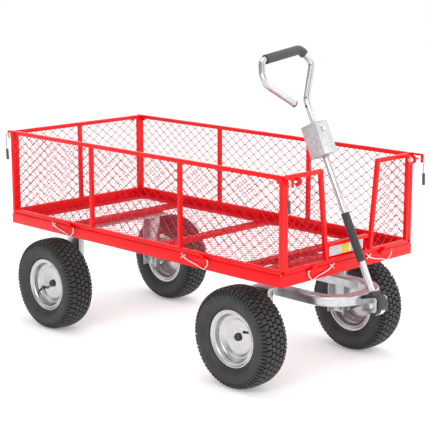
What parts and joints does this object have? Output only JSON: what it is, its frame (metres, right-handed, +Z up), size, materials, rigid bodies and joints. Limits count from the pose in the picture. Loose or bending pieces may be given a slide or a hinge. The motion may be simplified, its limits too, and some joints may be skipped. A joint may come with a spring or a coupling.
{
  "type": "garden cart",
  "caption": "Four-wheeled garden cart with a mesh bed, fold-down mesh sides, steered front axle and a leaning pull handle.",
  "frame": {"origin": "on the ground under the middle of the whole cart", "axes": "+Z up, +X towards the pull handle, +Y to the cart's left"},
  "size_m": [1.499, 0.692, 1.0572],
  "materials": {
    "red": "glossy red powder coat",
    "red_mesh": "glossy red powder coat on expanded metal",
    "galvanised": "satin zinc",
    "zinc": "bright zinc",
    "silver_paint": "satin silver paint",
    "rim": "satin silver paint",
    "tyre": "matt",
    "foam": "matt foam",
    "black_plastic": "matt",
    "cable": "twisted steel"
  },
  "bodies": {
    "chassis": {"bed_frame": "red", "cross_members": "red", "deck_mesh": "red_mesh", "hinge_barrels": "red", "hinge_pins": "zinc", "rear_axle_frame": "galvanised", "rear_axle": "galvanised", "rear_hub_caps": "black_plastic", "turntable_plate": "galvanised", "chassis_fasteners": "zinc", "rest_plate": "red"},
    "steering": {"front_axle_frame": "galvanised", "front_axle": "galvanised", "front_hub_caps": "black_plastic", "tongue_loop": "galvanised", "tongue_clevis": "galvanised", "front_fasteners": "zinc"},
    "handle": {"handle_yoke": "black_plastic", "handle_tab": "zinc", "lower_tube": "silver_paint", "foam_sleeve": "foam", "channel_box": "galvanised", "fold_pin": "zinc", "lock_bolt": "zinc"},
    "grip_loop": {"loop_tube": "silver_paint", "grip": "foam", "tube_plugs": "black_plastic"},
    "left_side": {"left_panel": "red", "left_mesh": "red_mesh", "cable_front_left": "cable", "pull_grip_front_left": "black_plastic", "cable_rear_left": "cable", "pull_grip_rear_left": "black_plastic"},
    "right_side": {"right_panel": "red", "right_mesh": "red_mesh", "cable_front_right": "cable", "pull_grip_front_right": "black_plastic", "cable_rear_right": "cable", "pull_grip_rear_right": "black_plastic"},
    "rear_side": {"rear_panel": "red", "rear_mesh": "red_mesh"},
    "front_side": {"front_panel": "red", "front_mesh": "red_mesh"},
    "wheel_front_right": {"tyre_front_right": "tyre", "rim_front_right": "rim"},
    "latch_front_right": {"latch_pin_front_right": "zinc"},
    "wheel_front_left": {"tyre_front_left": "tyre", "rim_front_left": "rim"},
    "latch_front_left": {"latch_pin_front_left": "zinc"},
    "wheel_rear_right": {"tyre_rear_right": "tyre", "rim_rear_right": "rim"},
    "latch_rear_right": {"latch_pin_rear_right": "zinc"},
    "wheel_rear_left": {"tyre_rear_left": "tyre", "rim_rear_left": "rim"},
    "latch_rear_left": {"latch_pin_rear_left": "zinc"}
  },
  "joints": [
    {"name": "steer", "type": "hinge", "parent": "chassis", "child": "steering", "pos_m": [0.4075, 0, 0.306], "axis": [0, 0, 1], "range_deg": [-12, 12]},
    {"name": "handle_swing", "type": "hinge", "parent": "steering", "child": "handle", "pos_m": [0.7185, 0, 0.2755], "axis": [0, 1, 0], "range_deg": [0, 125]},
    {"name": "grip_fold", "type": "hinge", "parent": "handle", "child": "grip_loop", "pos_m": [0.47873, 0, 0.76493], "axis": [0, -1, 0], "range_deg": [0, 120]},
    {"name": "left_side_fold", "type": "hinge", "parent": "chassis", "child": "left_side", "pos_m": [-0.0625, 0.329, 0.398], "axis": [-1, 0, 0], "range_deg": [0, 165]},
    {"name": "right_side_fold", "type": "hinge", "parent": "chassis", "child": "right_side", "pos_m": [-0.0625, -0.329, 0.398], "axis": [1, 0, 0], "range_deg": [0, 165]},
    {"name": "rear_side_fold", "type": "hinge", "parent": "chassis", "child": "rear_side", "pos_m": [-0.7395, 0, 0.398], "axis": [0, -1, 0], "range_deg": [0, 165]},
    {"name": "front_side_fold", "type": "hinge", "parent": "chassis", "child": "front_side", "pos_m": [0.6145, 0, 0.398], "axis": [0, 1, 0], "range_deg": [0, 95]},
    {"name": "spin_front_right", "type": "hinge", "parent": "steering", "child": "wheel_front_right", "pos_m": [0.4075, -0.29, 0.165], "axis": [0, 1, 0], "continuous": true},
    {"name": "latch_front_right_slide", "type": "slide", "parent": "front_side", "child": "latch_front_right", "axis": [0, -1, 0], "range_m": [-0.01, 0.0065]},
    {"name": "spin_front_left", "type": "hinge", "parent": "steering", "child": "wheel_front_left", "pos_m": [0.4075, 0.29, 0.165], "axis": [0, 1, 0], "continuous": true},
    {"name": "latch_front_left_slide", "type": "slide", "parent": "front_side", "child": "latch_front_left", "axis": [0, 1, 0], "range_m": [-0.01, 0.0065]},
    {"name": "spin_rear_right", "type": "hinge", "parent": "chassis", "child": "wheel_rear_right", "pos_m": [-0.5325, -0.29, 0.165], "axis": [0, 1, 0], "continuous": true},
    {"name": "latch_rear_right_slide", "type": "slide", "parent": "rear_side", "child": "latch_rear_right", "axis": [0, -1, 0], "range_m": [-0.01, 0.0065]},
    {"name": "spin_rear_left", "type": "hinge", "parent": "chassis", "child": "wheel_rear_left", "pos_m": [-0.5325, 0.29, 0.165], "axis": [0, 1, 0], "continuous": true},
    {"name": "latch_rear_left_slide", "type": "slide", "parent": "rear_side", "child": "latch_rear_left", "axis": [0, 1, 0], "range_m": [-0.01, 0.0065]}
  ]
}
